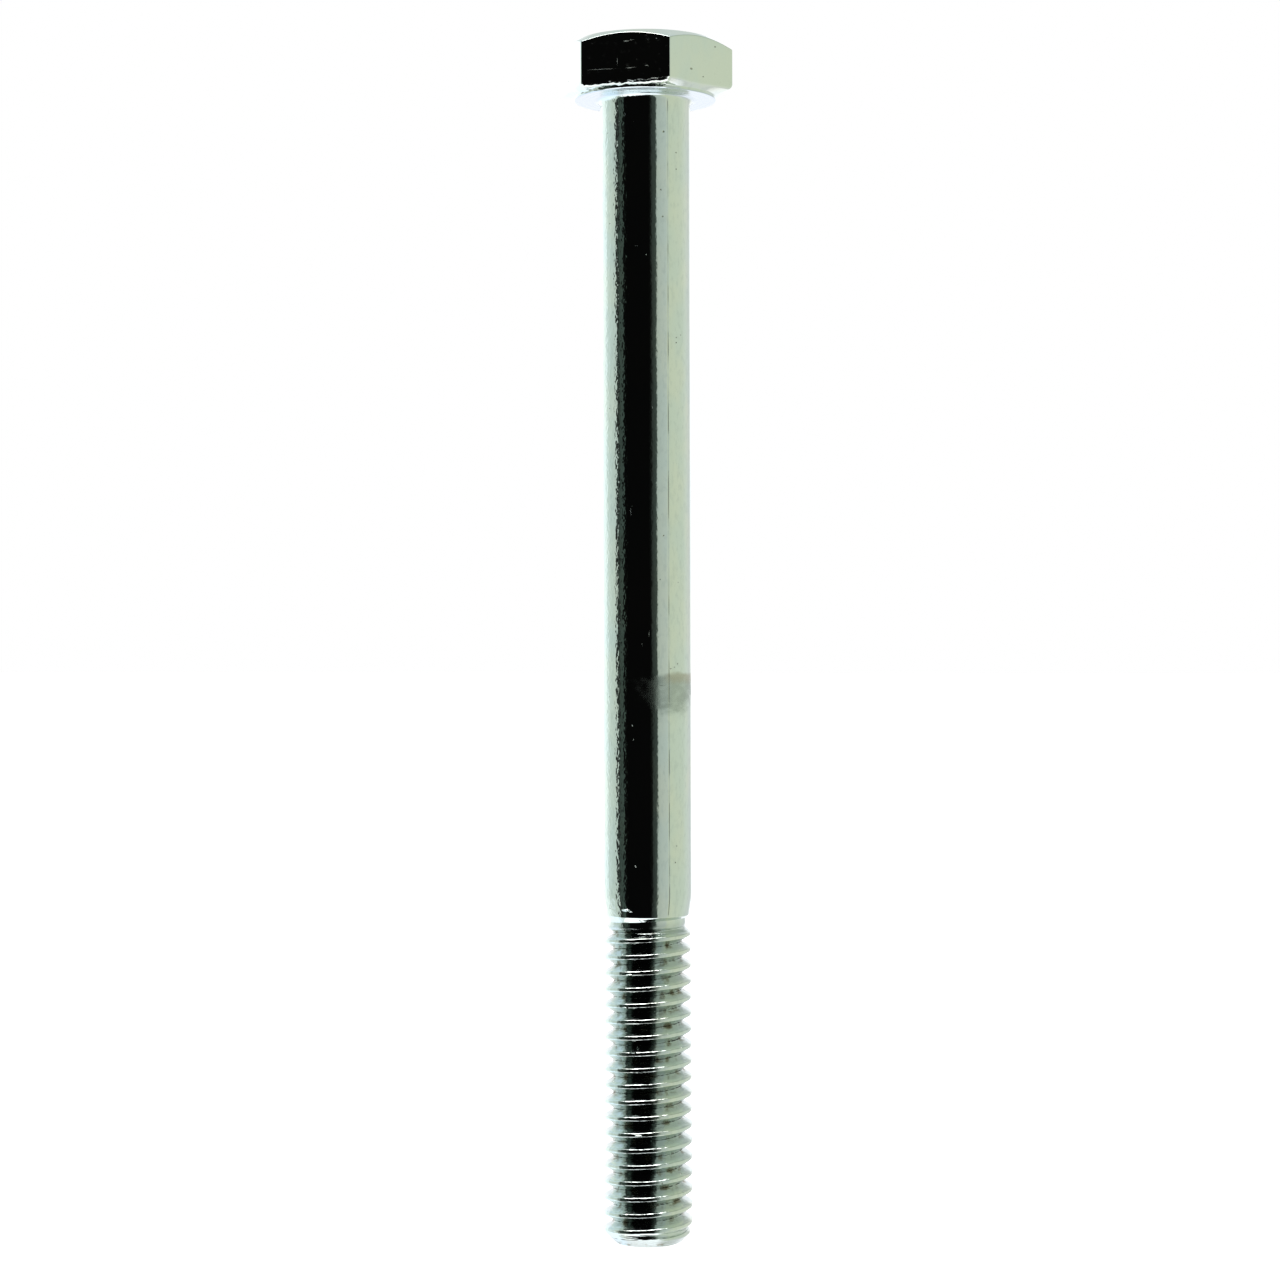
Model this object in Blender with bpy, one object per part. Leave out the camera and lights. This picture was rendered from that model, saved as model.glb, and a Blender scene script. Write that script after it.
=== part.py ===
"""Hex bolt with a plain shank and a short thread, M4 x 50, made from one piece of steel.

The origin is the centre of the bearing face, +Z runs up the axis to the top of the head,
the shank points to -Z, and two of the six flats face +Y and -Y.
"""

import math

import bmesh
import bpy
from mathutils import Matrix

MM = 0.001

# Sizes in millimetres, heights below the bearing face unless a note says otherwise
LENGTH = 50.0
ACROSS_FLATS = 6.82
HEAD_HEIGHT = 2.52  # above the bearing face
HEAD_TOP_RADIUS = 3.1  # where the chamfer meets the top
CHAMFER_ANGLE = math.radians(30)
WASHER_FACE_RADIUS = 3.1
WASHER_FACE_HEIGHT = 0.2
WASHER_FACE_EDGE = 0.05  # radius on the rim of the washer face
SHANK_RADIUS = 1.975
FILLET = 0.3  # radius under the head
SHANK_END = 34.9  # the shank tapers in from here to the neck
NECK_START = 35.85
NECK_RADIUS = 1.76  # the rolling diameter of the thread
THREAD_RADIUS = 1.975
PITCH = 0.7
TURNS = 20
RUN_OUT = 0.7  # the thread grows from the neck to its full depth over this length
POINT_RADIUS = 1.5
POINT_CHAMFER = 0.5

# Proportions of the metric thread
THREAD_DEPTH = 0.6134 * PITCH
CREST_FLAT = PITCH / 8
ROOT_FLAT = PITCH / 6

ROUND_STEPS = 24  # sides of the turned shapes, and steps in a turn of the thread
# Where the upper edge of a crest passes +X, in turns above the point. The quarter of a step
# keeps every edge of the helix off the two rings that end the thread.
CREST_PHASE = 9.25 / ROUND_STEPS
CHAMFER_STEPS = 48
FILLET_STEPS = 4
BURIED = 0.8  # how deep the turned blank reaches into the head
THREAD_TOP = TURNS * PITCH - LENGTH
WELD = 1e-7


def clear_scene():
    for obj in list(bpy.data.objects):
        bpy.data.objects.remove(obj, do_unlink=True)


def collection(name, hidden=False):
    made = bpy.data.collections.new(name)
    bpy.context.scene.collection.children.link(made)
    made.hide_render = hidden
    return made


def zinc_plate():
    material = bpy.data.materials.new("zinc_plate")
    material.use_nodes = True
    shader = material.node_tree.nodes["Principled BSDF"]
    shader.inputs["Base Color"].default_value = (0.74, 0.76, 0.76, 1.0)
    shader.inputs["Metallic"].default_value = 1.0
    shader.inputs["Roughness"].default_value = 0.2
    return material


def new_object(name, bm, place):
    mesh = bpy.data.meshes.new(name)
    bmesh.ops.recalc_face_normals(bm, faces=bm.faces)
    bm.to_mesh(mesh)
    bm.free()
    obj = bpy.data.objects.new(name, mesh)
    place.objects.link(obj)
    return obj


def as_cutter(obj):
    obj.hide_render = True
    obj.display_type = "WIRE"
    return obj


def combine(obj, other, operation):
    boolean = obj.modifiers.new(other.name, "BOOLEAN")
    boolean.operation = operation
    boolean.object = other
    boolean.solver = "EXACT"


def sweep(bm, outline, steps, rise=0.0):
    """Sweeps an outline of (radius, height) points once round Z, climbing by rise on the way."""
    points = [bm.verts.new((r * MM, 0, z * MM)) for r, z in outline]
    edges = [bm.edges.new(pair) for pair in zip(points, points[1:])]
    bmesh.ops.spin(
        bm,
        geom=points + edges,
        axis=(0, 0, 1),
        dvec=(0, 0, rise / steps * MM),
        angle=2 * math.pi,
        steps=steps,
    )


def arc(centre, radius, first, last, steps):
    """Points of an arc in the outline's plane, its angles in degrees."""
    turns = [math.radians(first + (last - first) * i / steps) for i in range(steps + 1)]
    return [(centre[0] + radius * math.cos(t), centre[1] + radius * math.sin(t)) for t in turns]


def blank_outline():
    """From inside the head down the washer face, fillet and shank to the neck."""
    edge = WASHER_FACE_EDGE
    rim = arc((WASHER_FACE_RADIUS - edge, edge), edge, 0, -90, 2)
    fillet = arc((SHANK_RADIUS + FILLET, -FILLET), FILLET, 90, 180, FILLET_STEPS)
    return [
        (0, BURIED),
        (WASHER_FACE_RADIUS, BURIED),
        *rim,
        *fillet,
        (SHANK_RADIUS, -SHANK_END),
        (NECK_RADIUS, -NECK_START),
        (NECK_RADIUS, THREAD_TOP),
    ]


def thread_outline():
    """Crests and roots all the way down, with a spare turn past each end."""
    root = THREAD_RADIUS - THREAD_DEPTH
    outline = []
    for turn in range(TURNS + 1, -3, -1):
        crest = (turn + CREST_PHASE) * PITCH - LENGTH
        groove = crest - (PITCH + CREST_FLAT - ROOT_FLAT) / 2
        outline += [(THREAD_RADIUS, crest), (THREAD_RADIUS, crest - CREST_FLAT)]
        outline += [(root, groove), (root, groove - ROOT_FLAT)]
    return outline


def shape_thread_ends(verts):
    """Brings the helix down to the neck at its top and to the chamfered point at its bottom."""
    for vert in verts:
        radius = vert.co.xy.length / MM
        height = min(max(vert.co.z / MM, -LENGTH), THREAD_TOP)
        growth = min((THREAD_TOP - height) / RUN_OUT, 1)
        radius = NECK_RADIUS + (radius - NECK_RADIUS) * growth
        taper = (height + LENGTH) / POINT_CHAMFER
        radius = min(radius, POINT_RADIUS + (THREAD_RADIUS - POINT_RADIUS) * taper)
        vert.co.xy = vert.co.xy.normalized() * radius * MM
        vert.co.z = height * MM


def turned_body(place):
    """Everything but the hexagon."""
    bm = bmesh.new()
    sweep(bm, thread_outline(), ROUND_STEPS, rise=PITCH)
    shape_thread_ends(bm.verts)
    sweep(bm, blank_outline(), ROUND_STEPS)
    sweep(bm, [(POINT_RADIUS, -LENGTH), (0, -LENGTH)], ROUND_STEPS)
    bmesh.ops.remove_doubles(bm, verts=bm.verts, dist=WELD)
    return new_object("hex_bolt", bm, place)


def chamfer_cone(place):
    beyond = ACROSS_FLATS - HEAD_TOP_RADIUS
    bm = bmesh.new()
    outline = [
        (0, HEAD_HEIGHT),
        (HEAD_TOP_RADIUS, HEAD_HEIGHT),
        (ACROSS_FLATS, HEAD_HEIGHT - beyond * math.tan(CHAMFER_ANGLE)),
        (ACROSS_FLATS, -BURIED),
        (0, -BURIED),
    ]
    sweep(bm, outline, CHAMFER_STEPS)
    bmesh.ops.remove_doubles(bm, verts=bm.verts, dist=WELD)
    return as_cutter(new_object("chamfer_cone", bm, place))


def hexagon(place):
    """A hexagonal prism whose upper corners are cut by the cone."""
    bottom, top = WASHER_FACE_HEIGHT * MM, HEAD_HEIGHT * MM
    corner = ACROSS_FLATS / math.sqrt(3) * MM
    bm = bmesh.new()
    bmesh.ops.create_cone(
        bm, cap_ends=True, segments=6, radius1=corner, radius2=corner, depth=top - bottom
    )
    bmesh.ops.rotate(bm, verts=bm.verts, matrix=Matrix.Rotation(math.radians(30), 3, "Z"))
    bmesh.ops.translate(bm, verts=bm.verts, vec=(0, 0, (top + bottom) / 2))
    head = as_cutter(new_object("hexagon", bm, place))
    combine(head, chamfer_cone(place), "INTERSECT")
    return head


def main():
    clear_scene()
    parts = collection("bolt")
    tools = collection("cutters", hidden=True)
    bolt = turned_body(parts)
    combine(bolt, hexagon(tools), "UNION")
    bolt.data.materials.append(zinc_plate())


main()
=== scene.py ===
import math

import bmesh
import bpy
from mathutils import Matrix, Vector, noise


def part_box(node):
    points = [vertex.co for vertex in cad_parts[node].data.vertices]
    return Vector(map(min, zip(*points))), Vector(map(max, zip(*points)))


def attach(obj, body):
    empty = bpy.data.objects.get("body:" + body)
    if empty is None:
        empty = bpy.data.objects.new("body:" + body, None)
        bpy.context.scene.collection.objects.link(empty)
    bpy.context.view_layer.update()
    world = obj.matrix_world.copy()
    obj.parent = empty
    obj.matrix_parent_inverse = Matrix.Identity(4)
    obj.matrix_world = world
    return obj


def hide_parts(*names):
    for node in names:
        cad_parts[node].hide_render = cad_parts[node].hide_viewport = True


mm = 0.001

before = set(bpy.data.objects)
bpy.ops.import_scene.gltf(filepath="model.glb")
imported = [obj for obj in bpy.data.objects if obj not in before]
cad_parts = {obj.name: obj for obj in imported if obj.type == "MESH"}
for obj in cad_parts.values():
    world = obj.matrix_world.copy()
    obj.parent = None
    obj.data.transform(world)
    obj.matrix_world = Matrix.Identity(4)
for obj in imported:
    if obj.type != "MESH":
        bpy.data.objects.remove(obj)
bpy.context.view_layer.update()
boltLow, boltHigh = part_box("hex_bolt")
print("frame loaded, bolt is", round((boltHigh[2] - boltLow[2]) / mm, 2), "mm long")


# sizes in millimetres, heights from the bearing face
head = {
    "flatRadius": boltHigh[1] / mm,
    "top": boltHigh[2] / mm,
    "topRadius": 3.1,
    "chamfer": math.radians(30),
    "cornerRound": 0.09,  # the six upright corners
    "topEdgeRound": 0.07,
    "chamferEdgeRound": 0.035,
    "tornFace": math.radians(-90),  # the flat whose lower edge tore when the hexagon was trimmed
    "tornRound": 0.025,
    "tornSpread": 28,  # degrees to each side that it goes, and the degrees in which it fades
    "tornFade": 8,
    "tornDepth": 0.08,  # how far the tear strays up and down
    "tornGrain": 14,  # and how fine it is
    "tornSlant": 0.055,  # and how much lower it lies at one end
    "tornFacet": 0.25,  # height of the torn strip, which leans in by tornLean of that
    "tornLean": 0.78,
    "softRound": 0.26,  # the lower edge of the other flats runs softly into the washer face
    "softRise": 0.17,
    "softDrop": 0.09,
    "washerRadius": 3.1,
    "washerHeight": 0.2,
    "washerEdge": 0.03,  # the rounding on its rim, and how much more there is in places
    "washerWear": 0.07,
}

shank = {
    "radius": 1.975,
    "fillet": 0.3,
    "end": -34.85,
    "lip": -35.69,  # a step down to the neck
    "lipRadius": 1.85,
    "neckStart": -35.9,
    "neckSlant": 0.09,  # the step is taller on one side
    "neckRadius": 1.70,
    "taperRound": 2.0,
    "rows": 104,
    "wave": 0.0012,  # how far the drawn wire strays from a true cylinder
}

thread = {
    "pitch": 0.7,
    "turns": 20,
    "radius": 1.975,
    "radiusAtNeck": 1.93,
    "depth": 0.4294,
    "crest": 0.15,
    "crestRound": 0.07,
    "rootRound": 0.05,
    "flank": math.radians(30),
    "phase": 9.25 / 24,  # turns above the point where the upper edge of a crest passes +X
    "runOut": 0.55,
    "ragged": 0.012,  # how uneven the crests are
}

point = {
    "bottom": boltLow[2] / mm,
    "radius": 1.5,
    "chamfer": 0.5,
    "fadeFrom": 0.8,  # the last groove fills up between these heights above the end
    "fadeTo": 0.35,
    "blank": 1.95,
}


def columnAngles():
    # close together at the six corners of the hexagon, evenly spread between them, and closer
    # on the torn flat
    atCorner = [0.0, 0.35, 0.7, 1.05, 1.5, 2.2]
    angles = []
    for corner in range(6):
        torn = 60 * corner + 30 == math.degrees(head["tornFace"]) % 360
        steps = 20 if torn else 11
        between = [2.2 + (60 - 4.4) * i / steps for i in range(1, steps)]
        sector = atCorner + between + [60 - a for a in reversed(atCorner[1:])]
        angles += [math.radians(60 * corner + a) for a in sector]
    return angles


def hexRadius(angle):
    # from the axis to the hexagon with its corners rounded
    flat, soft = head["flatRadius"], head["cornerRound"]
    fromNormal = abs(math.degrees(angle) % 60 - 30)
    along = flat * math.tan(math.radians(fromNormal))
    if along <= (flat - soft) * math.tan(math.radians(30)):
        return flat / math.cos(math.radians(fromNormal))
    centre = (flat - soft) / math.cos(math.radians(30))
    turn = math.radians(30 - fromNormal)
    return centre * math.cos(turn) + math.sqrt(soft**2 - (centre * math.sin(turn)) ** 2)


def softCorner(before, corner, after, radius, steps):
    # the points of an arc that touches both legs of a corner
    if not radius:
        return [corner]
    toBefore = (before - corner).normalized()
    toAfter = (after - corner).normalized()
    half = toBefore.angle(toAfter) / 2
    centre = corner + (toBefore + toAfter).normalized() * (radius / math.sin(half))
    first = corner + toBefore * (radius / math.tan(half)) - centre
    last = corner + toAfter * (radius / math.tan(half)) - centre
    return [centre + first.slerp(last, i / steps) * radius for i in range(steps + 1)]


def drawOutline(corners):
    # corners are (radius, height, rounding, steps in the arc, rows on the way to the next one)
    places = [Vector(c[:2]) for c in corners]
    bends = []
    for i, (_, _, soft, steps, _) in enumerate(corners):
        inside = 0 < i < len(corners) - 1
        if inside and soft:
            bends.append(softCorner(places[i - 1], places[i], places[i + 1], soft, steps))
        else:
            bends.append([places[i]])
    rows = list(bends[0])
    for bend, following, corner in zip(bends, bends[1:], corners):
        gap = corner[4]
        rows += [bend[-1].lerp(following[0], i / (gap + 1)) for i in range(1, gap + 1)]
        rows += following
    return rows


def lowerEdge(angle):
    # what lies between flat and washer face in one direction: the heights where the one ends
    # and the other begins, the rounding of each, the height of the torn strip, and a softness
    # that is 0 on the torn flat and 1 on the others
    away = abs((angle - head["tornFace"] + math.pi) % (2 * math.pi) - math.pi)
    soft = min(max((math.degrees(away) - head["tornSpread"]) / head["tornFade"], 0), 1)
    soft = soft * soft * (3 - 2 * soft)
    spot = Vector((math.cos(angle), math.sin(angle), 0.4)) * head["tornGrain"]
    tear = noise.noise(spot) + 0.8 * noise.noise(spot * 2.7)
    slant = math.sin(angle - head["tornFace"]) * 2 * head["tornSlant"] * (1 - soft)
    sideEnd = head["washerHeight"] + head["softRise"] * soft
    sideEnd += head["tornDepth"] * tear * (1 - 0.8 * soft) + head["tornDepth"] * (1 - soft) + slant
    rimTop = head["washerHeight"] - head["softDrop"] * soft
    rounding = head["tornRound"] + (head["softRound"] - head["tornRound"]) * soft
    worn = min(max(0.5 + noise.noise(spot * 0.22), 0), 1)
    facet = min(max(sideEnd - 0.08, 0.06), head["tornFacet"])
    facet *= 0.9 + 0.4 * noise.noise(spot * 1.9)
    rimRounding = head["washerEdge"] + head["washerWear"] * worn * (1 - soft)
    return sideEnd, rimTop, rounding, rimRounding, facet, soft


def upperOutline(angle):
    # from the middle of the head's top down to the neck above the thread
    outer = hexRadius(angle)
    slope = math.tan(head["chamfer"])
    chamferFoot = head["top"] - (outer - head["topRadius"]) * slope
    sideEnd, rimTop, rounding, rimRounding, facet, soft = lowerEdge(angle)
    torn = Vector((outer - facet * head["tornLean"], sideEnd - facet))
    sound = Vector((outer, sideEnd)).lerp(Vector((head["washerRadius"], rimTop)), 0.75)
    under = torn.lerp(sound, soft)
    neckStart = shank["neckStart"] + shank["neckSlant"] * math.cos(angle)
    return drawOutline([
        (0, head["top"], 0, 0, 4),
        (head["topRadius"], head["top"], head["topEdgeRound"], 3, 3),
        (outer, chamferFoot, head["chamferEdgeRound"], 3, 7),
        (outer, sideEnd, rounding, 6, 1),
        (under[0], under[1], 0, 0, 1),
        (head["washerRadius"], rimTop, 0, 0, 1),
        (head["washerRadius"], 0, rimRounding, 4, 7),
        (shank["radius"], 0, shank["fillet"], 8, shank["rows"]),
        (shank["radius"], shank["end"], shank["taperRound"], 5, 5),
        (shank["lipRadius"], shank["lip"], 0.03, 3, 1),
        (shank["neckRadius"], neckStart, 0.02, 3, 0),
        (shank["neckRadius"], threadTop, 0, 0, 0),
    ])


def toothOutline():
    # one pitch of the thread from the middle of a crest down to the middle of the next
    crest, pitch = thread["radius"], thread["pitch"]
    root = crest - thread["depth"]
    reach = thread["depth"] * math.tan(thread["flank"])
    half = thread["crest"] / 2
    rootTop = -half - reach
    rootBottom = -pitch + half + reach
    return drawOutline([
        (crest, 0, 0, 0, 0),
        (crest, -half, thread["crestRound"], 4, 1),
        (root, rootTop, thread["rootRound"], 2, 0),
        (root, rootBottom, thread["rootRound"], 2, 1),
        (crest, -pitch + half, thread["crestRound"], 4, 0),
        (crest, -pitch, 0, 0, 0),
    ])[:-1]


threadTop = point["bottom"] + thread["turns"] * thread["pitch"]


def threadPlace(angle, radius, height):
    # brings the helix down to the neck at its top and to the chamfered point at its bottom
    height = min(max(height, point["bottom"]), threadTop)
    down = (threadTop - height) / (thread["turns"] * thread["pitch"])
    radius += (thread["radiusAtNeck"] - thread["radius"]) * (1 - down)
    spot = Vector((math.cos(angle) * 2.2, math.sin(angle) * 2.2, height * 3.1))
    radius += thread["ragged"] * noise.noise(spot)
    growth = min((threadTop - height) / thread["runOut"], 1)
    growth = growth * growth * (3 - 2 * growth)
    radius = shank["neckRadius"] + (radius - shank["neckRadius"]) * growth
    up = height - point["bottom"]
    fade = min(max((point["fadeFrom"] - up) / (point["fadeFrom"] - point["fadeTo"]), 0), 1)
    radius += (max(radius, point["blank"]) - radius) * fade
    cone = point["radius"] + up * (thread["radius"] - point["radius"]) / point["chamfer"]
    return min(radius, cone), height


def shankWave(angle, height):
    # long shallow waves that a drawn wire has, and none at the head or at the neck
    if not shank["end"] < height < -shank["fillet"]:
        return 0
    ends = min((-shank["fillet"] - height) / 2, (height - shank["end"]) / 2, 1)
    spot = Vector((math.cos(angle) * 1.4, math.sin(angle) * 1.4, height * 0.35))
    return shank["wave"] * ends * noise.fractal(spot, 0.6, 2.0, 3)


def addPoint(bm, angle, radius, height):
    return bm.verts.new((radius * math.cos(angle) * mm, radius * math.sin(angle) * mm, height * mm))


def addTurned(bm, angles, outlines):
    # rows of points, one outline a column, joined all the way round
    columns = []
    for angle, outline in zip(angles, outlines):
        columns.append([addPoint(bm, angle, r + shankWave(angle, z), z) for r, z in outline])
    for here, there in zip(columns, columns[1:] + columns[:1]):
        for i in range(len(here) - 1):
            bm.faces.new((here[i], here[i + 1], there[i + 1], there[i]))


def addThread(bm, angles):
    # rows follow the helix: after one turn a row meets the one that is a pitch higher
    tooth = toothOutline()
    pitch, teeth = thread["pitch"], thread["turns"] + 4
    start = point["bottom"] + (thread["turns"] + 2 + thread["phase"]) * pitch - thread["crest"] / 2
    columns = []
    for angle in angles + [2 * math.pi]:
        climb = pitch * angle / (2 * math.pi)
        column = []
        for n in range(teeth):
            for radius, height in tooth:
                r, z = threadPlace(angle, radius, start + height - n * pitch + climb)
                column.append(addPoint(bm, angle, r, z))
        columns.append(column)
    for here, there in zip(columns, columns[1:]):
        for i in range(len(here) - 1):
            bm.faces.new((here[i], here[i + 1], there[i + 1], there[i]))


def buildBolt():
    angles = columnAngles()
    bm = bmesh.new()
    addTurned(bm, angles, [upperOutline(a) for a in angles])
    addThread(bm, angles)
    end = drawOutline([
        (point["radius"], point["bottom"], 0, 0, 6),
        (0, point["bottom"], 0, 0, 0),
    ])
    addTurned(bm, angles, [end for _ in angles])
    bmesh.ops.remove_doubles(bm, verts=bm.verts, dist=2e-7)
    bmesh.ops.dissolve_degenerate(bm, dist=1e-8, edges=bm.edges)
    bmesh.ops.recalc_face_normals(bm, faces=bm.faces)
    print("open edges:", sum(len(e.link_faces) != 2 for e in bm.edges))
    mesh = bpy.data.meshes.new("boltBody")
    bm.to_mesh(mesh)
    bm.free()
    bolt = bpy.data.objects.new("boltBody", mesh)
    bpy.context.scene.collection.objects.link(bolt)
    mesh.shade_smooth()
    return bolt


bolt = buildBolt()
print("bolt modelled,", len(bolt.data.polygons), "faces")


plating = {
    "cool": (0.735, 0.80, 0.77, 1),
    "warm": (0.785, 0.82, 0.75, 1),
    # dark grime for pits and the seam, and painted shade in the thread roots
    "grimeAndShade": (0.30, 0.28, 0.21, 1),
    "stain": (0.51, 0.49, 0.41, 1),
    # a duller grey for dust and the head's top, and painted shade on the thread's flanks and roots
    "hazeAndShade": (0.55, 0.605, 0.60, 1),
    "film": (0.46, 0.505, 0.475, 1),
    # painted reflection: the bearing face tinted blue-grey like the bluish light below it
    "bluishReflection": (0.64, 0.70, 0.75, 1),
    "polish": 0.022,  # roughness where the plate is cleanest
    "dullness": 0.05,  # and how much rougher it gets
    "relief": 0.000012,  # metres that a white spot of the relief stands above a black one
}

# how much rougher the plate is in each kind of place
rougher = {
    "spot": 0.24,
    "pits": 0.3,
    "scuffs": 0.5,
    "grimeAndShade": 0.3,
    "bearing": 0.1,
    "onTop": 0.2,
    "rubbed": 0.26,
}

# and how far each stands up or lies deep, in parts of the relief
standing = {
    "swell": 0.9,
    "pits": -1.2,
    "seam": -0.8,
    "forged": 2.5,
    "chipped": 7.0,
    "rolled": 1.5,
    "rings": 0.2,
}

# patterns of the plate: how each is stretched along X, Y and Z, its scale and its detail
patterns = {
    "drawn": ((1, 1, 0.05), 7.0, 3.0),  # lines from drawing the wire
    "grain": ((1, 1, 0.7), 7.0, 1.0),
    "swell": ((1, 1, 0.35), 0.9, 1.0),
    "rolled": ((0.7, 0.7, 11), 1.6, 3.0),  # lines from rolling the thread
    "forged": ((1, 1, 1), 3.0, 4.0),  # the top of the head
    "chipped": ((1, 1, 2.5), 18.0, 3.0),
    "brokenSeam": ((0.2, 0.2, 1), 0.5, 4.0),
    "cloudy": ((1, 1, 1.4), 2.2, 3.0),  # the stained spot
    "patchy": ((1, 1, 1.5), 2.4, 4.0),
    "tone": ((1, 1, 0.5), 0.8, 2.0),
    "dusty": ((1, 1, 0.5), 6.0, 5.0),
    "worn": ((1, 1, 0.2), 1.6, 4.0),
    "rubbed": ((1, 1, 1.4), 3.5, 5.0),
}

# the faint seam that drawing left along the shank, in degrees and radians round it
seamLine = {
    "degrees": 28.8,
    "halfWidth": 0.02,
    "core": 0.006,
}

# the dull spot half way down the shank, brown along its upper edge: heights as for the marks
stain = {
    "degrees": 34,
    "height": -25.78,
    "flatter": 1.7,  # how much shorter than wide it is
    "wavy": 0.3,
    "top": -24.9,  # where it begins, and where it has its full strength
    "full": -25.14,
    "brownTop": -24.86,
    "brownFull": -25.06,
    "brownFades": -25.15,
    "brownEnd": -25.5,
}

# the direction that the marks are measured from, which is also where the camera stands
frontAngle = math.radians(-75.4)

# single marks on the shank and thread: degrees round it, height, half width and half length,
# and whether it is a pit, a scuff or a bright nick
shankMarks = [
    (23.2, -1.65, 0.045, 0.045, "pit"),
    (42.3, -2.50, 0.04, 0.03, "pit"),
    (-26.8, -0.90, 0.02, 0.10, "scuff"),
    (3.0, -23.40, 0.012, 0.16, "scuff"),
    (-5.9, -23.83, 0.016, 0.07, "scuff"),
    (15.5, -24.30, 0.014, 0.20, "scuff"),
    (19.5, -25.62, 0.16, 0.012, "scuff"),
    (42.5, -24.68, 0.035, 0.035, "pit"),
    (37.5, -24.83, 0.03, 0.025, "pit"),
    (31.3, -24.90, 0.05, 0.025, "pit"),
    (-39.5, -24.60, 0.03, 0.03, "scuff"),
    (-12.0, -6.6, 0.11, 0.012, "scuff"),
    (8.0, -13.6, 0.015, 0.05, "scuff"),
    (-20.0, -18.1, 0.015, 0.22, "scuff"),
    (50.0, -10.4, 0.03, 0.03, "pit"),
    (38.0, -33.3, 0.03, 0.04, "pit"),
    (-29.0, -35.36, 0.20, 0.05, "nick"),
    (-22.0, -35.42, 0.10, 0.04, "nick"),
    (-58.0, -35.33, 0.14, 0.02, "pit"),
    (-40.0, -35.42, 0.10, 0.015, "pit"),
    (-13.0, -37.05, 0.17, 0.05, "nick"),
    (-25.0, -36.87, 0.17, 0.04, "nick"),
    (-24.0, -38.15, 0.15, 0.03, "nick"),
    (-30.0, -39.6, 0.15, 0.04, "nick"),
    (-20.0, -41.5, 0.15, 0.03, "nick"),
    (-12.0, -45.1, 0.15, 0.03, "nick"),
    (150.0, -9.0, 0.05, 0.04, "pit"),
    (-140.0, -27.0, 0.014, 0.5, "scuff"),
    (110.0, -30.5, 0.04, 0.03, "pit"),
]

# the same on the rim of the washer face
rimMarks = [
    (-62, 0.10, 0.16, 0.022, "pit"),
    (-55, 0.05, 0.13, 0.02, "pit"),
    (-50, 0.12, 0.10, 0.025, "pit"),
    (-43, 0.07, 0.12, 0.02, "pit"),
    (-37, 0.12, 0.07, 0.02, "pit"),
    (120, 0.1, 0.16, 0.02, "pit"),
]

# and on the head: centre, half sizes along X, Y and Z
headMarks = [
    ((-1.05, -3.41, 0.80), (0.75, 0.1, 0.014), "scuff"),
    ((0.25, -3.41, 0.80), (0.30, 0.1, 0.022), "scuff"),
    ((0.95, -3.41, 0.86), (0.10, 0.1, 0.03), "scuff"),
    ((-0.35, -3.41, 1.12), (0.018, 0.1, 0.22), "scuff"),
    ((0.05, -3.41, 1.95), (0.17, 0.1, 0.04), "scuff"),
    ((0.29, -3.41, 1.99), (0.12, 0.1, 0.025), "scuff"),
    ((1.39, -3.41, 1.99), (0.05, 0.1, 0.02), "scuff"),
    ((2.63, -2.27, 0.86), (0.08, 0.09, 0.045), "pit"),
    ((3.38, -0.97, 2.02), (0.05, 0.06, 0.035), "pit"),
    ((3.24, -1.0, 0.13), (0.14, 0.17, 0.05), "pit"),
    ((3.0, -1.62, 0.62), (0.03, 0.06, 0.03), "pit"),
    ((0.9, 3.41, 1.2), (0.5, 0.1, 0.014), "scuff"),
    ((1.1, 0.6, 2.52), (0.9, 0.02, 0.1), "scuff"),
]


def addNode(tree, kind, values=None, **settings):
    # a value may be a number, a colour or another node's socket
    node = tree.nodes.new("ShaderNode" + kind)
    for name, setting in settings.items():
        setattr(node, name, setting)
    for name, value in (values or {}).items():
        if isinstance(value, bpy.types.NodeSocket):
            tree.links.new(value, node.inputs[name])
        else:
            node.inputs[name].default_value = value
    return node


def calculate(tree, operation, *values):
    return addNode(tree, "Math", dict(enumerate(values)), operation=operation).outputs[0]


def step(tree, value, low, high):
    # goes smoothly from 0 at low to 1 at high
    values = {"Value": value, "From Min": low, "From Max": high}
    return addNode(tree, "MapRange", values, interpolation_type="SMOOTHSTEP").outputs["Result"]


def blend(tree, factor, first, second):
    # sockets 6 and 7 are the two colours of a colour mix, and 2 is its result
    values = {0: factor, 6: first, 7: second}
    return addNode(tree, "Mix", values, data_type="RGBA").outputs[2]


def multiply(tree, first, second):
    return calculate(tree, "MULTIPLY", first, second)


def larger(tree, first, second):
    return calculate(tree, "MAXIMUM", first, second)


def addTo(tree, base, value, amount):
    return calculate(tree, "MULTIPLY_ADD", value, amount, base)


def pattern(tree, place, name):
    stretch, scale, detail = patterns[name]
    stretched = addNode(tree, "VectorMath", {0: place, 1: stretch}, operation="MULTIPLY")
    values = {"Vector": stretched.outputs[0], "Scale": scale, "Detail": detail}
    return addNode(tree, "TexNoise", values).outputs[0]


def around(degrees, height, radius):
    angle = frontAngle + math.radians(degrees)
    return (radius * math.cos(angle), radius * math.sin(angle), height)


def allMarks():
    for degrees, height, across, along, kind in shankMarks:
        yield around(degrees, height, shank["radius"]), (across, across, along), kind
    for degrees, height, across, along, kind in rimMarks:
        yield around(degrees, height, head["washerRadius"]), (across, across, along), kind
    yield from headMarks


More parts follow.
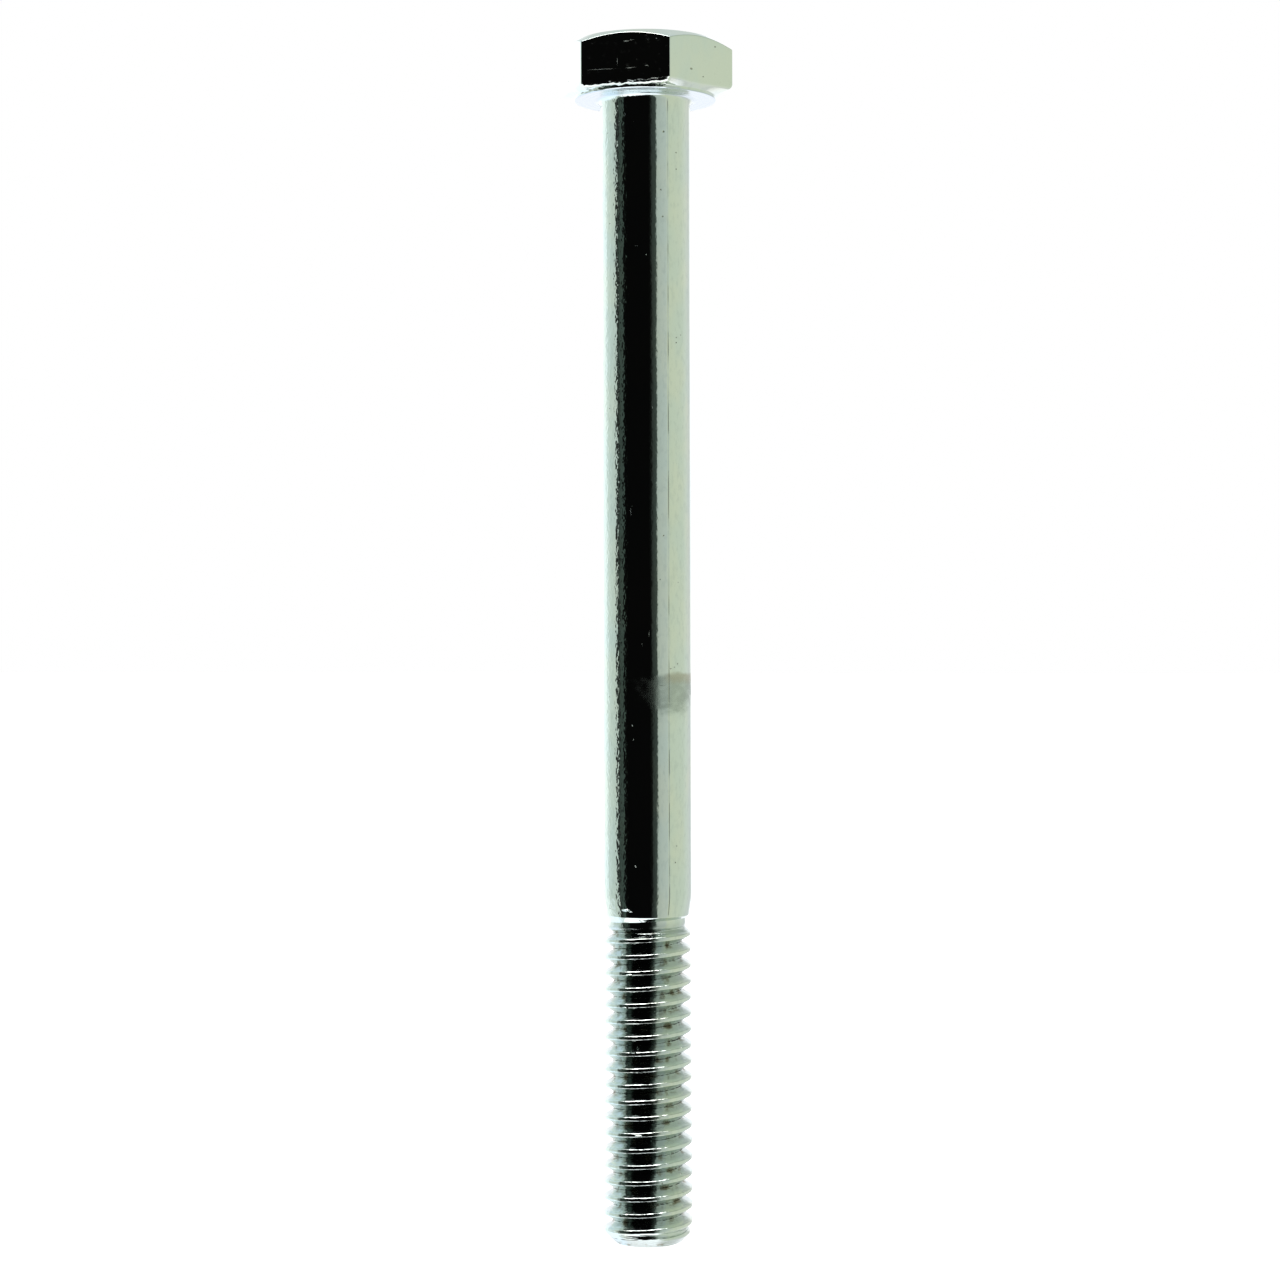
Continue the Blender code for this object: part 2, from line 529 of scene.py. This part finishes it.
def markMask(tree, place, wanted):
    # 1 in the middle of each mark of that kind and 0 away from them
    mask = 0.0
    for centre, size, kind in allMarks():
        if kind != wanted:
            continue
        shift = addNode(tree, "VectorMath", {0: place, 1: centre}, operation="SUBTRACT")
        scaled = addNode(tree, "VectorMath", {0: shift.outputs[0], 1: size}, operation="DIVIDE")
        far = addNode(tree, "VectorMath", {0: scaled.outputs[0]}, operation="LENGTH")
        mask = calculate(tree, "MAXIMUM", step(tree, far.outputs["Value"], 1.3, 0.4), mask)
    return mask


def zonesOf(tree, place):
    # the place's coordinates, how far it is from the axis, and masks of the bolt's surfaces
    x, y, z = addNode(tree, "SeparateXYZ", {0: place}).outputs
    squares = calculate(tree, "ADD", multiply(tree, x, x), multiply(tree, y, y))
    radius = calculate(tree, "SQRT", squares)
    atTop = step(tree, z, head["top"] - 0.02, head["top"] - 0.005)
    withinTop = step(tree, radius, head["topRadius"], head["topRadius"] - 0.2)
    return {
        "x": x,
        "y": y,
        "z": z,
        "radius": radius,
        "onThread": step(tree, z, threadTop + 0.2, threadTop - 0.2),
        "onHead": step(tree, z, 0.15, 0.3),
        "bearing": multiply(tree, step(tree, z, -0.12, -0.02), step(tree, z, 0.06, 0.02)),
        "onTop": multiply(tree, atTop, withinTop),
    }


def seamMask(tree, place, zones):
    angle = calculate(tree, "ARCTAN2", zones["y"], zones["x"])
    seamAngle = frontAngle + math.radians(seamLine["degrees"])
    away = calculate(tree, "ABSOLUTE", calculate(tree, "SUBTRACT", angle, seamAngle))
    broken = step(tree, pattern(tree, place, "brokenSeam"), 0.3, 0.7)
    seam = multiply(tree, step(tree, away, seamLine["halfWidth"], seamLine["core"]), broken)
    belowHead = step(tree, zones["z"], -0.1, -0.4)
    aboveLip = step(tree, zones["z"], shank["lip"], shank["lip"] + 0.2)
    return multiply(tree, seam, multiply(tree, belowHead, aboveLip))


def stainMasks(tree, place, zones):
    # the dull spot, and the brown along its upper edge
    centre = around(stain["degrees"], stain["height"], shank["radius"])
    shift = addNode(tree, "VectorMath", {0: place, 1: centre}, operation="SUBTRACT")
    flatter = (1, 1, stain["flatter"])
    shift = addNode(tree, "VectorMath", {0: shift.outputs[0], 1: flatter}, operation="MULTIPLY")
    far = addNode(tree, "VectorMath", {0: shift.outputs[0]}, operation="LENGTH").outputs["Value"]
    cloudy = pattern(tree, place, "cloudy")
    far = calculate(tree, "ADD", far, multiply(tree, cloudy, -1.6))
    wavy = addTo(tree, zones["z"], cloudy, stain["wavy"])
    below = step(tree, wavy, stain["top"], stain["full"])
    spot = multiply(tree, step(tree, far, 1.5, 0.2), below)
    spot = multiply(tree, spot, addTo(tree, 0.42, cloudy, 1.1))
    above = step(tree, wavy, stain["brownEnd"], stain["brownFades"])
    below = step(tree, wavy, stain["brownTop"], stain["brownFull"])
    edge = multiply(tree, multiply(tree, above, below), step(tree, zones["x"], 1.0, 1.5))
    return spot, multiply(tree, step(tree, far, 1.6, 0.9), edge)


def platingMasks(tree, place, zones):
    # all but the zones are 1 where the plate has that flaw or finish and 0 where it hasn't; the one
    # for the thread roots is partly grime and partly painted shade
    cells = addNode(tree, "TexVoronoi", {"Vector": place, "Scale": 1.7, "Randomness": 1.0})
    shade = addNode(tree, "SeparateColor", {0: cells.outputs["Color"]}).outputs[0]
    few = calculate(tree, "GREATER_THAN", shade, 0.72)
    specks = multiply(tree, step(tree, cells.outputs["Distance"], 0.075, 0.03), few)
    nicks = markMask(tree, place, "nick")
    # the thread roots, in patches: partly grime and partly painted shade in the recess
    deep = multiply(tree, step(tree, zones["radius"], 1.75, 1.55), zones["onThread"])
    patchy = step(tree, pattern(tree, place, "patchy"), 0.5, 0.68)
    rubbed = step(tree, pattern(tree, place, "rubbed"), 0.5, 0.8)
    rings = calculate(tree, "SINE", multiply(tree, zones["radius"], 24))
    spot, brown = stainMasks(tree, place, zones)
    return {
        **zones,
        "spot": spot,
        "brown": brown,
        "pits": larger(tree, specks, markMask(tree, place, "pit")),
        "scuffs": markMask(tree, place, "scuff"),
        "chipped": multiply(tree, nicks, pattern(tree, place, "chipped")),
        "seam": seamMask(tree, place, zones),
        "grimeAndShade": multiply(tree, deep, patchy),
        "rubbed": multiply(tree, rubbed, zones["onHead"]),
        "swell": pattern(tree, place, "swell"),
        "forged": multiply(tree, pattern(tree, place, "forged"), zones["onTop"]),
        "rolled": multiply(tree, pattern(tree, place, "rolled"), zones["onThread"]),
        "rings": multiply(tree, rings, zones["bearing"]),
    }


def platingColour(tree, place, masks):
    tone = step(tree, pattern(tree, place, "tone"), 0.35, 0.65)
    colour = blend(tree, tone, plating["cool"], plating["warm"])
    # painted shade: the thread darkens towards its roots
    sunk = multiply(tree, step(tree, masks["radius"], 1.93, 1.7), masks["onThread"])
    colour = blend(tree, multiply(tree, sunk, 0.65), colour, plating["hazeAndShade"])
    dusty = step(tree, pattern(tree, place, "dusty"), 0.45, 0.75)
    dusty = multiply(tree, dusty, addTo(tree, 0.35, masks["onHead"], -0.3))
    colour = blend(tree, dusty, colour, plating["hazeAndShade"])
    # painted reflection: the bearing face is tinted blue-grey
    colour = blend(tree, masks["bearing"], colour, plating["bluishReflection"])
    colour = blend(tree, multiply(tree, masks["onTop"], 0.6), colour, plating["hazeAndShade"])
    colour = blend(tree, multiply(tree, masks["spot"], 0.9), colour, plating["film"])
    colour = blend(tree, multiply(tree, masks["brown"], 0.8), colour, plating["stain"])
    # pits and the seam are darkened as real marks, the thread roots partly as grime and partly as
    # painted shade
    dark = larger(tree, masks["grimeAndShade"], multiply(tree, masks["pits"], 0.75))
    dark = larger(tree, dark, multiply(tree, masks["seam"], 0.45))
    return blend(tree, dark, colour, plating["grimeAndShade"])


def platingRoughness(tree, place, masks):
    worn = step(tree, pattern(tree, place, "worn"), 0.4, 0.75)
    rough = addTo(tree, plating["polish"], worn, plating["dullness"])
    for name, amount in rougher.items():
        rough = addTo(tree, rough, masks[name], amount)
    return rough


def platingRelief(tree, place, masks):
    # the grain is stronger on one side of the shank, and weak on the thread and the head
    toSide = addNode(tree, "VectorMath", {0: place, 1: around(-42, 0, 1)}, operation="DOT_PRODUCT")
    grainy = addTo(tree, 0.25, step(tree, toSide.outputs["Value"], 1.4, 1.9), 0.9)
    grain = multiply(tree, pattern(tree, place, "grain"), grainy)
    fine = addTo(tree, grain, pattern(tree, place, "drawn"), 0.2)
    onThread = multiply(tree, masks["onThread"], 0.3)
    onHead = multiply(tree, masks["onHead"], 0.8)
    calm = larger(tree, multiply(tree, masks["bearing"], 0.9), larger(tree, onThread, onHead))
    relief = multiply(tree, fine, calculate(tree, "SUBTRACT", 1.0, calm))
    for name, amount in standing.items():
        relief = addTo(tree, relief, masks[name], amount)
    return relief


def zincPlate():
    material = bpy.data.materials.new("zincPlate")
    material.use_nodes = True
    tree = material.node_tree
    shader = tree.nodes["Principled BSDF"]
    inMetres = addNode(tree, "TexCoord").outputs["Object"]
    scaled = addNode(tree, "VectorMath", {0: inMetres, "Scale": 1 / mm}, operation="SCALE")
    place = scaled.outputs[0]
    masks = platingMasks(tree, place, zonesOf(tree, place))
    relief = platingRelief(tree, place, masks)
    bump = addNode(tree, "Bump", {"Height": relief, "Distance": plating["relief"]})
    tree.links.new(platingColour(tree, place, masks), shader.inputs["Base Color"])
    tree.links.new(platingRoughness(tree, place, masks), shader.inputs["Roughness"])
    tree.links.new(bump.outputs[0], shader.inputs["Normal"])
    shader.inputs["Metallic"].default_value = 1
    return material


bolt.data.materials.append(zincPlate())
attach(bolt, "root")
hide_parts("hex_bolt")
print("plating done")


# the camera's place: degrees round the bolt and millimetres from its axis
view = {
    "azimuth": math.radians(14.6),
    "distance": 122.97,
    "aside": -0.29,
    "height": -23.65,
    "roll": math.radians(0.15),
    "lens": 78.75,
}

toCamera = Vector((math.sin(view["azimuth"]), -math.cos(view["azimuth"]), 0))
toRight = Vector((math.cos(view["azimuth"]), math.sin(view["azimuth"]), 0))


def placeCamera():
    camera = bpy.data.objects.new("camera", bpy.data.cameras.new("camera"))
    bpy.context.scene.collection.objects.link(camera)
    up = Vector((0, 0, 1))
    right = toRight * math.cos(view["roll"]) - up * math.sin(view["roll"])
    above = up * math.cos(view["roll"]) + toRight * math.sin(view["roll"])
    turn = Matrix((right, above, toCamera)).transposed()
    place = toCamera * view["distance"] + toRight * view["aside"] + up * view["height"]
    camera.matrix_world = Matrix.Translation(place * mm) @ turn.to_4x4()
    camera.data.lens = view["lens"]
    camera.data.sensor_width = 36
    camera.data.clip_start = 0.005
    camera.data.clip_end = 20
    bpy.context.scene.camera = camera


placeCamera()


# how bright it is round the bolt, in degrees to the camera's right: the dark camera side with
# its left edge in two steps, a lit wall on the right and the bright back
surround = [
    (-180, (1.16, 1.18, 1.22)),
    (-160, (1.18, 1.19, 1.23)),
    (-151, (1.36, 1.34, 1.36)),
    (-140, (1.16, 1.26, 1.26)),
    (-124, (1.03, 1.16, 1.17)),
    (-116, (0.75, 0.86, 0.83)),
    (-100, (0.63, 0.74, 0.69)),
    (-84, (0.60, 0.69, 0.64)),
    (-80, (0.026, 0.028, 0.026)),
    (-77, (0.010, 0.010, 0.010)),
    (-74, (0.042, 0.056, 0.048)),
    (-62, (0.063, 0.090, 0.077)),
    (-59, (0.007, 0.008, 0.007)),
    (-52, (0.0025, 0.0025, 0.0025)),
    (8, (0.0025, 0.0025, 0.0025)),
    (13, (0.007, 0.008, 0.007)),
    (16, (0.03, 0.037, 0.033)),
    (26, (0.055, 0.072, 0.062)),
    (29, (0.47, 0.53, 0.48)),
    (56, (0.56, 0.63, 0.58)),
    (62, (0.63, 0.70, 0.56)),
    (104, (0.66, 0.73, 0.61)),
    (120, (0.72, 0.78, 0.69)),
    (135, (0.72, 0.76, 0.72)),
    (142, (0.66, 0.70, 0.68)),
    (152, (0.98, 1.0, 1.0)),
    (160, (1.14, 1.16, 1.20)),
    (180, (1.16, 1.18, 1.22)),
]

# how that changes away from the level, in degrees above or below it
upAndDown = {
    "strips": (6.5, 6.5, 6.5, 1),  # a bright strip above the camera's side
    "stripBelow": (1.6, 1.65, 1.7, 1),  # and a weaker one below it
    "beyond": (1.15, 1.17, 1.20, 1),  # and what is there on the far side
    "stripsFrom": 64,
    "stripsTo": 76,
    "stripsSpread": 0.25,  # and how much lower they reach on the left
    "wall": (0.58, 0.625, 0.59, 1),  # the back wall gets darker upwards by this much
    "wallFrom": 16,
    "wallTo": 30,
    "sky": (1.15, 1.32, 1.50, 1),  # bluer light from the left, above and below
    "skyFrom": 10,
    "skyTo": 32,
}


def lightTheStudio():
    world = bpy.data.worlds.new("studio")
    bpy.context.scene.world = world
    world.use_nodes = True
    tree = world.node_tree
    tree.nodes.clear()
    direction = addNode(tree, "TexCoord").outputs["Generated"]

    def along(axis):
        values = {0: direction, 1: axis}
        return addNode(tree, "VectorMath", values, operation="DOT_PRODUCT").outputs["Value"]

    turn = calculate(tree, "ARCTAN2", along(toRight), along(toCamera))
    turn = calculate(tree, "MULTIPLY_ADD", turn, 0.5 / math.pi, 0.5)
    ring = addNode(tree, "ValToRGB", {"Fac": turn})
    stops = ring.color_ramp.elements
    stops.remove(stops[1])
    for i, (degrees, colour) in enumerate(surround):
        stop = stops[0] if i == 0 else stops.new(1)
        stop.position = (degrees + 180) / 360
        stop.color = (*colour, 1)
    height = along((0, 0, 1))
    offLevel = calculate(tree, "ABSOLUTE", height)

    def between(value, name):
        low, high = (math.sin(math.radians(upAndDown[name + end])) for end in ("From", "To"))
        return step(tree, value, low, high)

    behind = step(tree, along(toCamera), 0, -0.25)
    fromLeft = multiply(tree, step(tree, along(toRight), -0.1, -0.4), behind)
    sky = multiply(tree, between(offLevel, "sky"), fromLeft)
    lit = blend(tree, sky, ring.outputs["Color"], upAndDown["sky"])
    darker = addNode(tree, "Mix", {0: between(height, "wall"), 6: lit, 7: upAndDown["wall"]},
                     data_type="RGBA", blend_type="MULTIPLY").outputs[2]
    upper = step(tree, height, -0.1, 0.1)
    strips = blend(tree, upper, upAndDown["stripBelow"], upAndDown["strips"])
    poles = blend(tree, step(tree, along(toCamera), -0.16, -0.06), upAndDown["beyond"], strips)
    spread = larger(tree, multiply(tree, along(toRight), -upAndDown["stripsSpread"]), 0)
    nearPoles = between(calculate(tree, "ADD", offLevel, spread), "strips")
    lit = blend(tree, nearPoles, darker, poles)
    seen = addNode(tree, "LightPath").outputs["Is Camera Ray"]
    background = addNode(tree, "Background", {"Color": blend(tree, seen, lit, (1, 1, 1, 1))})
    addNode(tree, "OutputWorld", {"Surface": background.outputs[0]})


lightTheStudio()


def layFloor():
    bm = bmesh.new()
    bmesh.ops.create_grid(bm, x_segments=8, y_segments=8, size=2)
    mesh = bpy.data.meshes.new("paleFloor")
    bm.to_mesh(mesh)
    bm.free()
    floor = bpy.data.objects.new("paleFloor", mesh)
    floor.location.z = boltLow[2]
    bpy.context.scene.collection.objects.link(floor)
    material = bpy.data.materials.new("palePaper")
    material.use_nodes = True
    shader = material.node_tree.nodes["Principled BSDF"]
    shader.inputs["Base Color"].default_value = (0.95, 0.95, 0.95, 1)
    shader.inputs["Roughness"].default_value = 0.9
    shader.inputs["Emission Color"].default_value = (1, 1, 1, 1)
    shader.inputs["Emission Strength"].default_value = 1
    mesh.materials.append(material)
    floor.visible_glossy = False


layFloor()
bpy.context.scene.view_settings.view_transform = "Standard"
print("camera, light and floor done")
